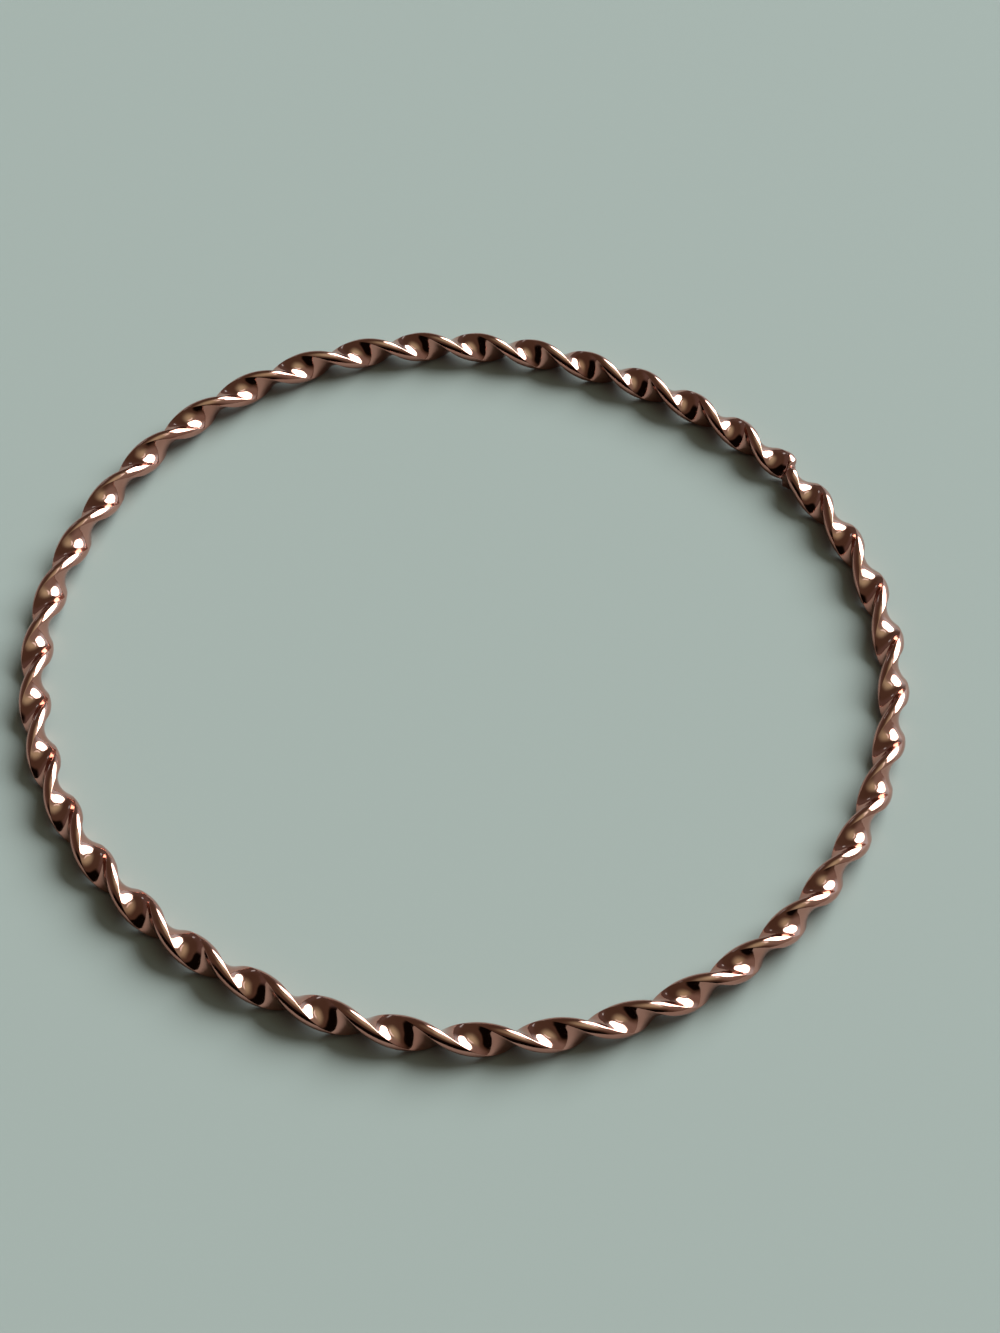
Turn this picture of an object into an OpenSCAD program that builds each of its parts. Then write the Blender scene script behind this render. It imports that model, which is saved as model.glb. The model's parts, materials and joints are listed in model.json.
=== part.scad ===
// Twisted wire bangle: one length of flat wire with crowned edges, twisted by hand about its own axis,
// bent round into a hoop and soldered end to end. The hoop lies flat, its lowest ridges on z = 0, and
// the origin is the centre of the wrist opening. Millimetres and degrees.

/* [Hoop] */
// Clear width across the wrist opening
inner_d = 64; // [56:0.5:74]
// How far the hoop strays from a true circle, in or out
out_of_round = 0.2; // [0:0.05:1]

/* [Wire] */
// Width of the flat wire, from edge to edge
wire_w = 2.5; // [1.8:0.05:4]
// Thickness of the flat wire
wire_t = 1; // [0.6:0.05:1.6]
// Radius of the crown on each of its two narrow edges
edge_r = 0.65; // [0.5:0.05:3]

/* [Twist] */
// Length of one lobe, which is half a turn; the hoop has the nearest whole number of them
lobe_len = 5.1; // [4.5:0.1:8]
// How far the hand twist strays from an even one, ahead and behind three times round the hoop
quick_drift = 21; // [0:0.5:30]
// The same, ahead and behind once round the hoop
slow_drift = 13.5; // [0:0.5:30]
// Extra twist that the wire's two ends have between them, where they were held
end_twist = 59; // [0:1:90]
// Length of wire at each end over which that twist eases in
end_len = 10; // [6:0.5:20]
// Direction that the wire's width faces at the joint, from straight up towards outside
joint_facing = 12.5; // [0:0.5:179]

/* [Solder joint] */
// Place of the joint round the hoop, anticlockwise from +X
joint_at = 39.7; // [0:0.1:359.9]
// Length of wire that the solder covers
joint_len = 0.8; // [0.4:0.1:2]
// How far the solder stands proud of the wire's faces
solder_h = 0.12; // [0:0.02:0.3]

/* [Fineness] */
// Most twist from one section to the next
twist_facet = 12; // [10:1:30]
// Most turn from one point to the next round a crowned edge
edge_facet = 34; // [30:1:60]

/* [Hidden] */

rose_gold = [0.74, 0.45, 0.36];
half_turn = 180;
full_turn = 360;

// The hoop strays in four waves and the twist in three and in one, all at their peak this far round
// from the joint
round_waves = 4;
quick_waves = 3;
wave_peak = 70.8;

mean_r = (inner_d + wire_w) / 2;
rest_z = wire_w / 2;
half_turns = round(2 * PI * mean_r / lobe_len);

// Half the joint's length and the length of each end, as degrees round the hoop
joint_half = joint_len / 2 / mean_r * half_turn / PI;
end_reach = end_len / mean_r * half_turn / PI;
twist_rate = (half_turns * half_turn - end_twist) / full_turn;

run_steps = half_turns * ceil(half_turn / twist_facet);
joint_steps = 2 * ceil(joint_len / lobe_len * half_turn / twist_facet);
edge_points = 1 + ceil(2 * edge_turn(wire_t) / edge_facet);
section_points = 2 * edge_points;

function ease(x) = x * x * (3 - 2 * x);
function clamped(x) = min(1, max(0, x));

// Half the angle that the crown of an edge spans, for wire of thickness t
function edge_turn(t) = asin(min(1, t / 2 / edge_r));

// Share of the joint passed at a degrees from it: 0 along the run, then 0 to 1 through the joint
function joint_share(a) = clamped((a - full_turn + joint_half) / (2 * joint_half));

// Share of the ends' extra twist passed: none at the joint, half along the run, and all back at the joint
function end_share(a) =
    let (past_joint = a > half_turn ? a - full_turn : a)
    ease(clamped((past_joint + end_reach) / (2 * end_reach))) + (a > half_turn ? 0.5 : -0.5);

function drift(a) =
    quick_drift * cos(quick_waves * (a - wave_peak)) + slow_drift * cos(a - wave_peak);

function hoop_r(a) = mean_r + out_of_round * cos(round_waves * (a - wave_peak));

// Angle of the wire's width from the hoop's axis towards its outside
function twist(a) =
    joint_facing + twist_rate * a + drift(a) - drift(0) + end_twist * end_share(a);

function thickness(a) = wire_t + 2 * solder_h * sin(half_turn * joint_share(a));

// A point of the wire's outline: across its width, and through its thickness
function outline_point(j, t) =
    let (
        side = j < edge_points ? 1 : -1,
        turn = edge_turn(t) * (2 * (j % edge_points) / (edge_points - 1) - 1)
    )
    side * [wire_w / 2 - edge_r * (1 - cos(turn)), edge_r * sin(turn)];

// The same point carried to its place on the hoop
function wire_point(a, j) =
    let (
        p = outline_point(j, thickness(a)),
        up = p[0] * cos(twist(a)) - p[1] * sin(twist(a)),
        out = p[0] * sin(twist(a)) + p[1] * cos(twist(a)),
        r = hoop_r(a) + out
    )
    [r * cos(joint_at + a), r * sin(joint_at + a), rest_z + up];

// Degrees from the joint to each section: along the run first, then through the joint
stations = [
    for (i = [0 : run_steps])
        joint_half + i * (full_turn - 2 * joint_half) / run_steps,
    for (i = [1 : joint_steps - 1])
        full_turn - joint_half + i * 2 * joint_half / joint_steps
];

// Number of a point, where the section after the last is the first one turned by the half turns
function point_index(i, j) =
    let (turned = i == len(stations) ? j + half_turns * edge_points : j)
    (i % len(stations)) * section_points + turned % section_points;

module twisted_wire() {
    points = [for (a = stations, j = [0 : section_points - 1]) wire_point(a, j)];
    faces = [
        for (i = [0 : len(stations) - 1], j = [0 : section_points - 1])
            let (
                near = point_index(i, j),
                far = point_index(i + 1, j),
                far_next = point_index(i + 1, j + 1),
                near_next = point_index(i, j + 1)
            )
            each [[near, far, far_next], [near, far_next, near_next]]
    ];
    color(rose_gold) polyhedron(points, faces);
}

twisted_wire();
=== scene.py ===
"""A twisted wire bangle in polished rose gold, lying on a plain pale floor.

One flat wire with crowned edges is twisted about its own axis, bent into a hoop and soldered end to end.
The wire is modelled in millimetres and degrees, and its mesh is brought to the frame's metres last.
"""

import json
import logging
import math
from dataclasses import dataclass, field
from enum import Enum

import bmesh
import bpy
import numpy as np
from mathutils import Matrix, Vector, noise


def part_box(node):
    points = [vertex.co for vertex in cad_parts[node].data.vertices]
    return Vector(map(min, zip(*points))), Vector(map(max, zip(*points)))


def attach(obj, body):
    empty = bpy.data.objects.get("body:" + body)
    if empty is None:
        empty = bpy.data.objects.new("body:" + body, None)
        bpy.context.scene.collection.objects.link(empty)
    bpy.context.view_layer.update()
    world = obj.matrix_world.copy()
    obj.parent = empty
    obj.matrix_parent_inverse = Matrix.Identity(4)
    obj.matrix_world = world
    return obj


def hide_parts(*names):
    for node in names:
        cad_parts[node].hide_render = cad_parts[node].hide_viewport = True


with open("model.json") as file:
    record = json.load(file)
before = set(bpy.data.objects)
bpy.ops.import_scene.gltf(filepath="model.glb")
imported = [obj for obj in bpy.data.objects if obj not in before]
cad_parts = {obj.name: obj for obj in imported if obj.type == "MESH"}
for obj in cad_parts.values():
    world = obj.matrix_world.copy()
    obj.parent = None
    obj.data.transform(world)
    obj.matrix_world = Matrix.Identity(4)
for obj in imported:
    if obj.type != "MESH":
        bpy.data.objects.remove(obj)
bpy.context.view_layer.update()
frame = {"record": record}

MM = 0.001
HALF_TURN = 180.0
FULL_TURN = 360.0
NODE = "twisted_wire"

# Points become one where they lie within this share of the step between two sections: in the straight
# wire, and in the bent one, whose steps are shorter at the joint
STRAIGHT_MERGE = 0.02
BENT_MERGE = 0.005

log = logging.getLogger("bangle")

Colour = tuple[float, float, float]


def cos_deg(angle: np.ndarray | float) -> np.ndarray | float:
    """Returns the cosine of an angle in degrees."""
    return np.cos(np.radians(angle))


def sin_deg(angle: np.ndarray | float) -> np.ndarray | float:
    """Returns the sine of an angle in degrees."""
    return np.sin(np.radians(angle))


def ease(x: np.ndarray) -> np.ndarray:
    """Returns a smooth step from 0 to 1 for x from 0 to 1."""
    x = np.clip(x, 0.0, 1.0)
    return x * x * (3.0 - 2.0 * x)


def direction(azimuth: float, elevation: float) -> Vector:
    """Turns two angles into a unit vector.

    Args:
        azimuth: Degrees anticlockwise from +X, seen from above.
        elevation: Degrees above the floor.

    Returns:
        The vector that points there.
    """
    level = cos_deg(elevation)
    return Vector((level * cos_deg(azimuth), level * sin_deg(azimuth), sin_deg(elevation)))


class Shader:
    """A node tree with short calls to add nodes and join them."""

    def __init__(self, tree: bpy.types.NodeTree) -> None:
        """Takes the tree that the nodes go into and empties it."""
        self.tree = tree
        self.tree.nodes.clear()

    def add(
        self, kind: str, inputs: dict[str | int, object] | None = None, **settings: object
    ) -> bpy.types.Node:
        """Adds one node.

        Args:
            kind: The node's Blender type.
            inputs: What each input gets: a value, or a socket to link from.
            settings: The node's own properties.

        Returns:
            The new node.
        """
        node = self.tree.nodes.new(kind)
        for name, value in settings.items():
            setattr(node, name, value)
        for name, value in (inputs or {}).items():
            if isinstance(value, bpy.types.NodeSocket):
                self.tree.links.new(value, node.inputs[name])
            else:
                node.inputs[name].default_value = value
        return node

    def math(self, operation: str, *values: object) -> bpy.types.NodeSocket:
        """Adds one Math node and returns its result."""
        return self.add("ShaderNodeMath", dict(enumerate(values)), operation=operation).outputs[0]

    def smooth(self, value: object, low: float, high: float) -> bpy.types.NodeSocket:
        """Adds a smooth step of a value from 0 at low to 1 at high and returns it."""
        inputs = {"Value": value, "From Min": low, "From Max": high}
        return self.add("ShaderNodeMapRange", inputs, interpolation_type="SMOOTHSTEP").outputs["Result"]

    def mix(self, share: object, first: object, second: object) -> bpy.types.NodeSocket:
        """Adds a colour mix and returns its result."""
        node = self.add("ShaderNodeMix", {"Factor": share, "A": first, "B": second}, data_type="RGBA")
        return node.outputs["Result"]


@dataclass(frozen=True)
class SolderJoint:
    """Where the wire's two ends meet under a bead of solder.

    Attributes:
        place: Degrees round the hoop, anticlockwise from +X.
        length: Length of wire that the bead covers.
        proud: How far the bead stands proud of the wire's faces.
        miss: How far the two ends miss each other sideways.
        miss_reach: Length of wire at each end over which that fades.
        end_round: Length over which each end has melted round.
        end_share: Share of its width that is left to an end at the seam.
        fillet: How sharply the bead meets the wire: higher is sharper.
        lump: How far the solder's lumps stand out.
        lump_size: Width of one lump.
        reach: Distance from the seam over which the solder shows on the wire.
    """

    place: float = 39.7
    length: float = 0.8
    proud: float = 0.12
    miss: float = 0.6
    miss_reach: float = 2.4
    end_round: float = 1.1
    end_share: float = 0.65
    fillet: float = 6.0
    lump: float = 0.18
    lump_size: float = 0.4
    reach: float = 0.8


@dataclass(frozen=True)
class Twist:
    """How the wire turns about its own axis along the hoop.

    Attributes:
        half_turns: Number of half turns, each of which makes one lobe.
        facing: Angle of the wire's width at the joint, from straight up towards outside.
        end_twist: Extra twist that the wire's two ends have between them, where they were held.
        end_length: Length of wire at each end over which it eases in.
        quick_drift: How far the twist strays from an even one, three times round the hoop.
        slow_drift: How far it strays once round the hoop.
        quick_waves: Number of the quick waves.
        peak: Degrees from the joint to where both waves are highest.
    """

    half_turns: int = 41
    facing: float = 12.5
    end_twist: float = 59.0
    end_length: float = 10.0
    quick_drift: float = 21.0
    slow_drift: float = 13.5
    quick_waves: int = 3
    peak: float = 70.8

    def drift(self, a: np.ndarray | float) -> np.ndarray | float:
        """Returns how far the twist runs ahead of an even one, a degrees from the joint."""
        quick = self.quick_drift * cos_deg(self.quick_waves * (a - self.peak))
        return quick + self.slow_drift * cos_deg(a - self.peak)

    def angle(self, a: np.ndarray, past_joint: np.ndarray) -> np.ndarray:
        """Works out the wire's twist.

        Args:
            a: Degrees from the joint.
            past_joint: Length of wire past the joint, which is negative before it.

        Returns:
            Angle of the wire's width from straight up towards outside.
        """
        rate = (self.half_turns * HALF_TURN - self.end_twist) / FULL_TURN
        eased = ease((past_joint + self.end_length) / (2 * self.end_length))
        end_share = eased + np.where(a > HALF_TURN, 0.5, -0.5)
        return self.facing + rate * a + self.drift(a) - self.drift(0.0) + self.end_twist * end_share


@dataclass
class TwistedWire:
    """The bangle's one piece: a flat wire with crowned edges, twisted, bent round and soldered closed.

    Attributes:
        inner_radius: Radius that stays clear of every lobe, in millimetres as the sizes below.
        width: Width of the wire, which is the height of the hoop as it lies.
        thickness: Thickness of the wire.
        edge_radius: Radius of the crown on each of its narrow edges.
        corner_radius: Radius to which its corners are worn.
        out_of_round: How far the hoop strays from a true circle.
        round_waves: Number of waves in which it strays.
        twist: The wire's twist.
        joint: The solder joint.
        edge_cuts: Faces across the crown of an edge.
        corner_cuts: Faces round a corner.
        flat_cuts: Cuts across each flat side.
        lobe_steps: Sections along one lobe.
        joint_sections: Sections that crowd into the joint.
    """

    inner_radius: float
    width: float
    thickness: float = 1.0
    edge_radius: float = 0.65
    corner_radius: float = 0.1
    out_of_round: float = 0.2
    round_waves: int = 4
    twist: Twist = field(default_factory=Twist)
    joint: SolderJoint = field(default_factory=SolderJoint)
    edge_cuts: int = 8
    corner_cuts: int = 3
    flat_cuts: int = 7
    lobe_steps: int = 36
    joint_sections: int = 54

    def __post_init__(self) -> None:
        """Works out the sizes that follow from the others."""
        self.mean_radius = self.inner_radius + self.out_of_round + self.width / 2
        self.length = math.tau * self.mean_radius
        self.lobe = self.length / self.twist.half_turns
        self.joint_half = math.degrees(self.joint.length / 2 / self.mean_radius)
        self.step = self.lobe / self.lobe_steps

    def outline(self, bm: bmesh.types.BMesh) -> list[bmesh.types.BMVert | bmesh.types.BMEdge]:
        """Draws the wire's cross section: two crowned edges, joined by the flats, with worn corners.

        Args:
            bm: The mesh that the section goes into.

        Returns:
            The section's points and edges.
        """
        turn = math.asin(self.thickness / 2 / self.edge_radius)
        centre = self.width / 2 - self.edge_radius
        start = (centre + self.edge_radius * math.cos(turn), -self.thickness / 2, 0)
        first = bmesh.ops.create_vert(bm, co=start)["vert"]
        bmesh.ops.spin(
            bm, geom=first, cent=(centre, 0, 0), axis=(0, 0, 1), angle=2 * turn, steps=self.edge_cuts,
            use_merge=False, use_duplicate=False,
        )
        other = bmesh.ops.duplicate(bm, geom=bm.verts[:] + bm.edges[:])["geom"]
        points = [g for g in other if isinstance(g, bmesh.types.BMVert)]
        bmesh.ops.rotate(bm, cent=(0, 0, 0), matrix=Matrix.Rotation(math.pi, 3, "Z"), verts=points)
        corners = [v for v in bm.verts if len(v.link_edges) == 1]
        worn_back = self.corner_radius * math.tan(math.pi / 4 - turn / 2)
        for side in (-1, 1):
            bmesh.ops.contextual_create(bm, geom=[v for v in corners if v.co.y * side > 0])
        bmesh.ops.bevel(
            bm, geom=corners, offset=worn_back, offset_type="OFFSET", segments=self.corner_cuts,
            profile=0.5, affect="VERTICES", material=-1,
        )
        flats = [e for e in bm.edges if e.calc_length() > self.thickness]
        bmesh.ops.subdivide_edges(bm, edges=flats, cuts=self.flat_cuts)
        return bm.verts[:] + bm.edges[:]

    def straight_wire(self) -> bmesh.types.BMesh:
        """Spins one lobe from the outline and repeats it along Z, each copy half a turn on.

        Returns:
            The evenly twisted wire before it is bent.
        """
        bm = bmesh.new()
        bmesh.ops.spin(
            bm, geom=self.outline(bm), cent=(0, 0, 0), axis=(0, 0, 1), dvec=(0, 0, self.step),
            angle=math.pi, steps=self.lobe_steps, use_merge=False, use_duplicate=False,
        )
        lobe = bm.verts[:] + bm.edges[:] + bm.faces[:]
        for i in range(1, self.twist.half_turns):
            copy = bmesh.ops.duplicate(bm, geom=lobe)["geom"]
            points = [g for g in copy if isinstance(g, bmesh.types.BMVert)]
            bmesh.ops.rotate(bm, cent=(0, 0, 0), matrix=Matrix.Rotation(math.pi * i, 3, "Z"), verts=points)
            bmesh.ops.translate(bm, vec=(0, 0, self.lobe * i), verts=points)
        bmesh.ops.remove_doubles(bm, verts=bm.verts, dist=self.step * STRAIGHT_MERGE)
        return bm

    def ring_angle(self, share: np.ndarray) -> np.ndarray:
        """Spreads the sections round the hoop, with the last ones crowded into the joint.

        Args:
            share: Share of the wire's length at each point.

        Returns:
            Degrees from the joint at each point.
        """
        run_share = 1.0 - self.joint_sections / (self.lobe_steps * self.twist.half_turns)
        return np.interp(
            share, [0.0, run_share, 1.0],
            [self.joint_half, FULL_TURN - self.joint_half, FULL_TURN + self.joint_half],
        )

    def past_joint(self, a: np.ndarray) -> np.ndarray:
        """Returns the length of wire past the joint, negative before it, for degrees from the joint."""
        return np.radians(np.where(a > HALF_TURN, a - FULL_TURN, a)) * self.mean_radius

    def rounded(self, past: np.ndarray) -> np.ndarray:
        """Returns the share of its width that the wire keeps, for the length of wire past the joint."""
        away = np.clip(1.0 - np.abs(past) / self.joint.end_round, 0.0, 1.0)
        return np.sqrt(1.0 - (1.0 - self.joint.end_share**2) * away**2)

    def soldered(self, up: np.ndarray, out: np.ndarray, past: np.ndarray) -> tuple[np.ndarray, np.ndarray]:
        """Lays the bead of solder round the seam, with its lumps.

        Args:
            up: Height of each point over the wire's axis.
            out: Distance of each point outwards from the axis.
            past: Length of wire past the joint.

        Returns:
            The two distances with the solder.
        """
        here = np.abs(past) < self.joint.reach
        away = np.abs(past[here])
        own = np.hypot(up[here], out[here])
        bead = self.thickness / 2 + self.joint.proud
        bead = bead * np.sqrt(ease(1.0 - 2 * away / self.joint.length))
        covered = (own**self.joint.fillet + bead**self.joint.fillet) ** (1.0 / self.joint.fillet)
        spots = np.column_stack((up[here], out[here], past[here])) / self.joint.lump_size
        lumps = np.array([noise.noise(Vector(spot)) for spot in spots])
        lumps *= self.joint.lump * ease(1.0 - away / self.joint.reach)
        grow = (covered + lumps) / own
        up, out = up.copy(), out.copy()
        up[here] *= grow
        out[here] *= grow
        return up, out

    def bend(self, mesh: bpy.types.Mesh) -> None:
        """Carries each point of the straight wire to its place on the hoop, and notes where it was.

        Args:
            mesh: The straight wire's mesh, in millimetres; it comes out in metres.
        """
        points = np.empty(len(mesh.vertices) * 3)
        mesh.vertices.foreach_get("co", points)
        x, y, z = points.reshape(-1, 3).T
        share = z / self.length
        own_twist = HALF_TURN * self.twist.half_turns * share
        across = x * cos_deg(own_twist) + y * sin_deg(own_twist)
        through = y * cos_deg(own_twist) - x * sin_deg(own_twist)
        a = self.ring_angle(share)
        past = self.past_joint(a)
        twist = self.twist.angle(a, past)
        across *= self.rounded(past)
        up = across * cos_deg(twist) - through * sin_deg(twist)
        out = across * sin_deg(twist) + through * cos_deg(twist)
        up, out = self.soldered(up, out, past)
        stray = self.out_of_round * cos_deg(self.round_waves * (a - self.twist.peak))
        r = self.mean_radius + stray + out
        side = 2 * ease(past / self.joint.length + 0.5) - 1
        r += self.joint.miss / 2 * side * ease(1.0 - np.abs(past) / self.joint.miss_reach)
        place = self.joint.place + a
        placed = np.column_stack((r * cos_deg(place), r * sin_deg(place), self.width / 2 + up))
        mesh.vertices.foreach_set("co", (placed * MM).ravel())
        along = np.radians(a) * self.mean_radius
        wire_place = mesh.attributes.new("wire_place", "FLOAT_VECTOR", "POINT")
        wire_place.data.foreach_set("vector", np.column_stack((across, through, along)).ravel())
        solder = mesh.attributes.new("solder", "FLOAT", "POINT")
        solder.data.foreach_set("value", ease(1.0 - np.abs(past) / self.joint.reach))

    def build(self) -> bpy.types.Object:
        """Builds the whole wire.

        Returns:
            The object, at the origin, with its place in its mesh.
        """
        mesh = bpy.data.meshes.new("twisted_rose_gold_wire")
        bm = self.straight_wire()
        bm.to_mesh(mesh)
        self.bend(mesh)
        bm.clear()
        bm.from_mesh(mesh)
        bmesh.ops.remove_doubles(bm, verts=bm.verts, dist=self.step * BENT_MERGE * MM)
        bmesh.ops.recalc_face_normals(bm, faces=bm.faces)
        for face in bm.faces:
            face.smooth = True
        bm.to_mesh(mesh)
        bm.free()
        piece = bpy.data.objects.new(mesh.name, mesh)
        bpy.context.scene.collection.objects.link(piece)
        return piece

    def dress(self, piece: bpy.types.Object, finish: "RoseGold") -> None:
        """Gives the wire its finish and ties it to the frame.

        Args:
            piece: The wire's object.
            finish: The finish that it gets.
        """
        piece.data.materials.append(finish.material())
        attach(piece, "root")
        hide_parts(NODE)


@dataclass(frozen=True)
class RoseGold:
    """Polished rose gold, with the fine marks of drawing, polishing and wear.

    Attributes:
        metal: Colour of the clean metal.
        shade: Colour where it is a little darker and redder.
        solder: Colour of the solder.
        polish: Roughness of the clean metal.
        solder_polish: Roughness of the solder.
        drawn_scale: Drawn lines to a millimetre, across the wire, through it and along it.
        drawn_detail: Finer noise in the drawn lines.
        drawn_rough: How much rougher the drawn lines make the metal.
        drawn_strength: Strength of their relief.
        drawn_height: Their depth in metres.
        tone_scale: Patches of the two tones to a metre.
        tone_detail: Finer noise in the patches.
        tone_range: Noise values between which the tone turns from metal to shade.
        wave_scale: Waves of the slow unevenness left by the twisting to a metre.
        wave_detail: Finer noise in the waves.
        wave_strength: Strength of their relief.
        wave_height: Their height in metres.
    """

    metal: Colour = (0.62, 0.295, 0.235)
    shade: Colour = (0.53, 0.23, 0.175)
    solder: Colour = (0.54, 0.25, 0.21)
    polish: float = 0.07
    solder_polish: float = 0.11
    drawn_scale: tuple[float, float, float] = (26.0, 26.0, 0.5)
    drawn_detail: float = 3.0
    drawn_rough: float = 0.05
    drawn_strength: float = 0.25
    drawn_height: float = 0.000002
    tone_scale: float = 420.0
    tone_detail: float = 2.0
    tone_range: tuple[float, float] = (0.35, 0.75)
    wave_scale: float = 900.0
    wave_detail: float = 1.0
    wave_strength: float = 0.8
    wave_height: float = 0.00003

    def noise(
        self, shader: Shader, place: bpy.types.NodeSocket, scale: float, detail: float
    ) -> bpy.types.NodeSocket:
        """Adds a noise pattern.

        Args:
            shader: The material's nodes.
            place: Where each point of the surface is.
            scale: Patches of noise to one unit of the place.
            detail: Finer noise in it.

        Returns:
            The noise, around a half.
        """
        inputs = {"Vector": place, "Scale": scale, "Detail": detail}
        return shader.add("ShaderNodeTexNoise", inputs).outputs["Fac"]

    def material(self) -> bpy.types.Material:
        """Makes the material.

        Returns:
            The material, which reads the wire's own attributes.
        """
        material = bpy.data.materials.new("polished_rose_gold")
        material.use_nodes = True
        s = Shader(material.node_tree)
        place = s.add("ShaderNodeAttribute", attribute_name="wire_place").outputs["Vector"]
        solder = s.add("ShaderNodeAttribute", attribute_name="solder").outputs["Fac"]
        spot = s.add("ShaderNodeTexCoord").outputs["Object"]
        drawn = s.add("ShaderNodeMapping", {"Vector": place, "Scale": self.drawn_scale}).outputs[0]
        lines = self.noise(s, drawn, 1.0, self.drawn_detail)
        patches = self.noise(s, spot, self.tone_scale, self.tone_detail)
        waves = self.noise(s, spot, self.wave_scale, self.wave_detail)
        tone = s.mix(s.smooth(patches, *self.tone_range), (*self.metal, 1), (*self.shade, 1))
        colour = s.mix(solder, tone, (*self.solder, 1))
        rough = s.math("ADD", self.polish, s.math("MULTIPLY", lines, self.drawn_rough))
        rough = s.math("ADD", rough, s.math("MULTIPLY", solder, self.solder_polish - self.polish))
        fine = s.add(
            "ShaderNodeBump",
            {"Height": lines, "Strength": self.drawn_strength, "Distance": self.drawn_height},
        ).outputs["Normal"]
        bump = s.add(
            "ShaderNodeBump",
            {
                "Height": waves, "Strength": self.wave_strength, "Distance": self.wave_height,
                "Normal": fine,
            },
        ).outputs["Normal"]
        metal = s.add(
            "ShaderNodeBsdfPrincipled",
            {"Base Color": colour, "Metallic": 1.0, "Roughness": rough, "Normal": bump},
        )
        s.add("ShaderNodeOutputMaterial", {"Surface": metal.outputs["BSDF"]})
        return material


@dataclass(frozen=True)
class PaleFloor:
    """A plain pale floor.

    Attributes:
        colour: Its colour.
        rough: Its roughness.
        side: Length of its side in metres.
    """

    colour: Colour = (0.315, 0.298, 0.282)
    rough: float = 0.9
    side: float = 4.0

    def build(self) -> bpy.types.Object:
        """Lays the floor at the height on which the bangle rests.

        Returns:
            The floor.
        """
        mesh = bpy.data.meshes.new("pale_floor")
        bm = bmesh.new()
        bmesh.ops.create_grid(bm, x_segments=1, y_segments=1, size=self.side / 2)
        bm.to_mesh(mesh)
        bm.free()
        floor = bpy.data.objects.new(mesh.name, mesh)
        bpy.context.scene.collection.objects.link(floor)
        material = bpy.data.materials.new("pale_floor")
        material.use_nodes = True
        s = Shader(material.node_tree)
        inputs = {"Base Color": (*self.colour, 1), "Roughness": self.rough}
        paint = s.add("ShaderNodeBsdfPrincipled", inputs)
        s.add("ShaderNodeOutputMaterial", {"Surface": paint.outputs["BSDF"]})
        mesh.materials.append(material)
        return floor


class Glow(Enum):
    """A round soft glow.

    Each has its middle azimuth and elevation, the reach where it is full, where it ends and its radiance.
    """

    CEILING = (20.0, 69.0, 8.0, 45.0, (0.58, 0.75, 0.54))


class Patch(Enum):
    """A patch of the room, with rounded corners and laid over those before it.

    Each has its middle azimuth and elevation, its reach in both, the softness of its edge and its radiance.
    """

    FAR_WALL = (160.0, 6.0, 80.0, 18.0, 0.6, (0.140, 0.130, 0.120))
    SIDE_WALL = (-4.0, 26.0, 30.0, 36.0, 0.5, (0.28, 0.29, 0.26))
    DARK_SIDE = (-108.0, 16.0, 57.0, 28.5, 0.15, (0.004, 0.003, 0.002))
    WALL_BELOW = (44.0, 8.0, 30.0, 14.0, 0.5, (0.66, 0.96, 1.08))
    LEDGE = (44.0, 58.5, 44.0, 3.5, 0.4, (0.25, 0.28, 0.22))
    SOFTBOX = (46.0, 36.0, 34.5, 19.0, 0.09, (9.6, 12.2, 12.2))
    STRIP = (36.0, 65.5, 34.0, 3.0, 0.5, (1.4, 1.85, 1.85))
    FAR_PANE = (128.0, 20.5, 5.5, 2.6, 0.25, (0.72, 1.2, 1.4))


@dataclass(frozen=True)
class Studio:
    """The plain soft light: one wide softbox in a dim warm room, painted by direction.

    Attributes:
        room: Radiance of the room where nothing else lies.
        backdrop: What the camera sees past the floor.
        corner: How square the patches are: 2 is an ellipse and higher is squarer.
    """

    room: Colour = (0.100, 0.085, 0.062)
    backdrop: Colour = (0.36, 0.43, 0.40)
    corner: float = 3.0

    def paint(self) -> None:
        """Paints the glow and then the patches over the room."""
        world = bpy.data.worlds.new("studio")
        bpy.context.scene.world = world
        world.use_nodes = True
        s = Shader(world.node_tree)
        view = s.add("ShaderNodeTexCoord").outputs["Generated"]
        parts = s.add("ShaderNodeSeparateXYZ", {0: view}).outputs
        azimuth = s.math("DEGREES", s.math("ARCTAN2", parts["Y"], parts["X"]))
        elevation = s.math("DEGREES", s.math("ARCSINE", parts["Z"]))
        colour = (*self.room, 1)
        for glow in Glow:
            middle_az, middle_el, full, end, radiance = glow.value
            towards = {0: view, 1: direction(middle_az, middle_el)}
            aim = s.add("ShaderNodeVectorMath", towards, operation="DOT_PRODUCT").outputs["Value"]
            away = s.math("DEGREES", s.math("ARCCOSINE", aim))
            colour = s.mix(s.smooth(away, end, full), colour, (*radiance, 1))
        for patch in Patch:
            middle_az, middle_el, reach_az, reach_el, soft, radiance = patch.value
            turn = s.math("WRAP", s.math("SUBTRACT", azimuth, middle_az), HALF_TURN, -HALF_TURN)
            across = s.math("POWER", s.math("ABSOLUTE", s.math("DIVIDE", turn, reach_az)), self.corner)
            climb = s.math("SUBTRACT", elevation, middle_el)
            rise = s.math("POWER", s.math("ABSOLUTE", s.math("DIVIDE", climb, reach_el)), self.corner)
            out = s.math("POWER", s.math("ADD", across, rise), 1 / self.corner)
            colour = s.mix(s.smooth(out, 1 + soft, 1 - soft), colour, (*radiance, 1))
        seen = s.add("ShaderNodeLightPath").outputs["Is Camera Ray"]
        shown = s.mix(seen, colour, (*self.backdrop, 1))
        background = s.add("ShaderNodeBackground", {"Color": shown})
        s.add("ShaderNodeOutputWorld", {"Surface": background.outputs[0]})

    def build(self) -> None:
        """Sets up all the light, and shows its colours as they are."""
        self.paint()
        view = bpy.context.scene.view_settings
        view.view_transform = "Standard"
        view.look = "None"


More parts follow.
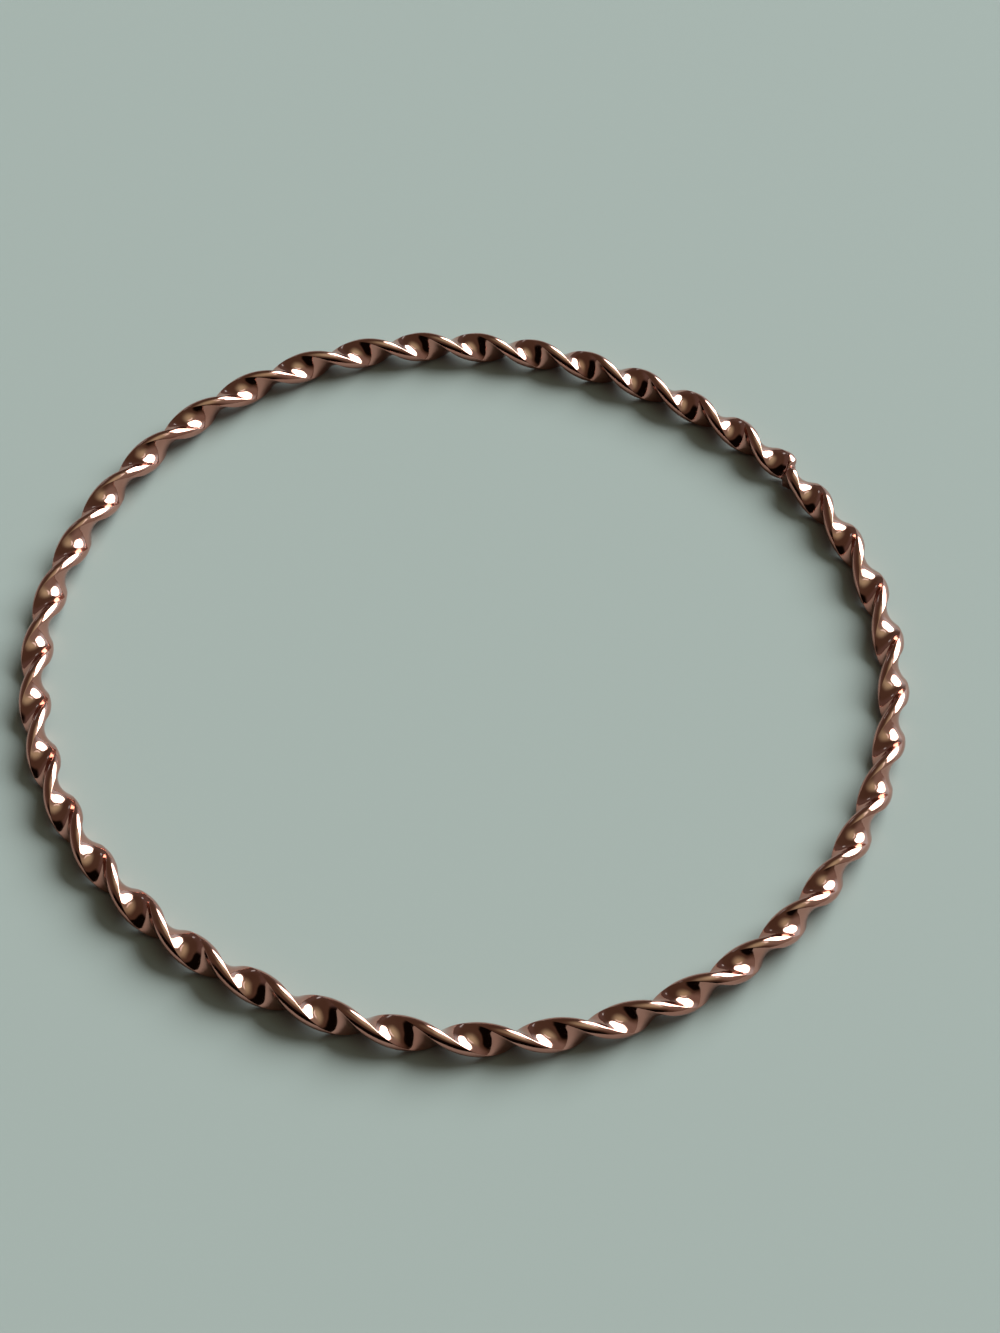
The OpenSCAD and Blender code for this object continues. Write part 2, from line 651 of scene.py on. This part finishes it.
@dataclass(frozen=True)
class PhotoCamera:
    """The camera at the photograph's angle.

    Attributes:
        width: The photograph's width in pixels.
        height: Its height in pixels.
        focal: Focal length in the photograph's pixels.
        elevation: Degrees above the floor, looking along +Y.
        roll: Degrees that the camera leans.
        distance: Distance from the bangle's middle, in its mean radii.
        centre_x: Pixel column at which the bangle's middle lies.
        centre_y: Pixel row at which it lies.
        sensor: Size of the sensor's long side in millimetres.
        near: Nearest distance that it sees, in the bangle's mean radii.
    """

    width: float = 1000.0
    height: float = 1333.0
    focal: float = 2554.6
    elevation: float = 53.24
    roll: float = 3.63
    distance: float = 5.987
    centre_x: float = 467.2
    centre_y: float = 658.5
    sensor: float = 36.0
    near: float = 0.1

    def build(self, mean_radius: float, rest_height: float) -> bpy.types.Object:
        """Sets up the camera and makes it the scene's own.

        Args:
            mean_radius: The hoop's mean radius in metres.
            rest_height: Height of the wire's axis over the floor in metres.

        Returns:
            The camera.
        """
        data = bpy.data.cameras.new("photo_camera")
        data.sensor_width = self.sensor
        data.lens = self.focal * self.sensor / self.height
        data.shift_x = (self.width / 2 - self.centre_x) / self.height
        data.shift_y = (self.centre_y - self.height / 2) / self.height
        data.clip_start = self.near * mean_radius
        back = Vector((0, -cos_deg(self.elevation), sin_deg(self.elevation)))
        level = Vector((1, 0, 0))
        above = back.cross(level)
        right = cos_deg(self.roll) * level + sin_deg(self.roll) * above
        up = cos_deg(self.roll) * above - sin_deg(self.roll) * level
        camera = bpy.data.objects.new(data.name, data)
        turn = Matrix((right, up, back)).transposed().to_4x4()
        place = back * self.distance * mean_radius + Vector((0, 0, rest_height))
        camera.matrix_world = Matrix.Translation(place) @ turn
        bpy.context.scene.collection.objects.link(camera)
        bpy.context.scene.camera = camera
        return camera


def main() -> None:
    """Builds the bangle, the floor, the light and the camera, and reports each."""
    logging.basicConfig(level=logging.INFO, format="%(name)s: %(message)s")
    low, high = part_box(NODE)
    opening = frame["record"]["mounts"][0]["dims"]
    wire = TwistedWire(inner_radius=opening["r_mm"], width=(high.z - low.z) / MM)
    piece = wire.build()
    wire.dress(piece, RoseGold())
    log.info("%s: %d faces, %d lobes", piece.name, len(piece.data.polygons), wire.twist.half_turns)
    floor = PaleFloor().build()
    log.info("%s laid", floor.name)
    Studio().build()
    log.info("light set up")
    camera = PhotoCamera().build(wire.mean_radius * MM, wire.width / 2 * MM)
    log.info("%s placed", camera.name)


if __name__ == "__main__":
    main()
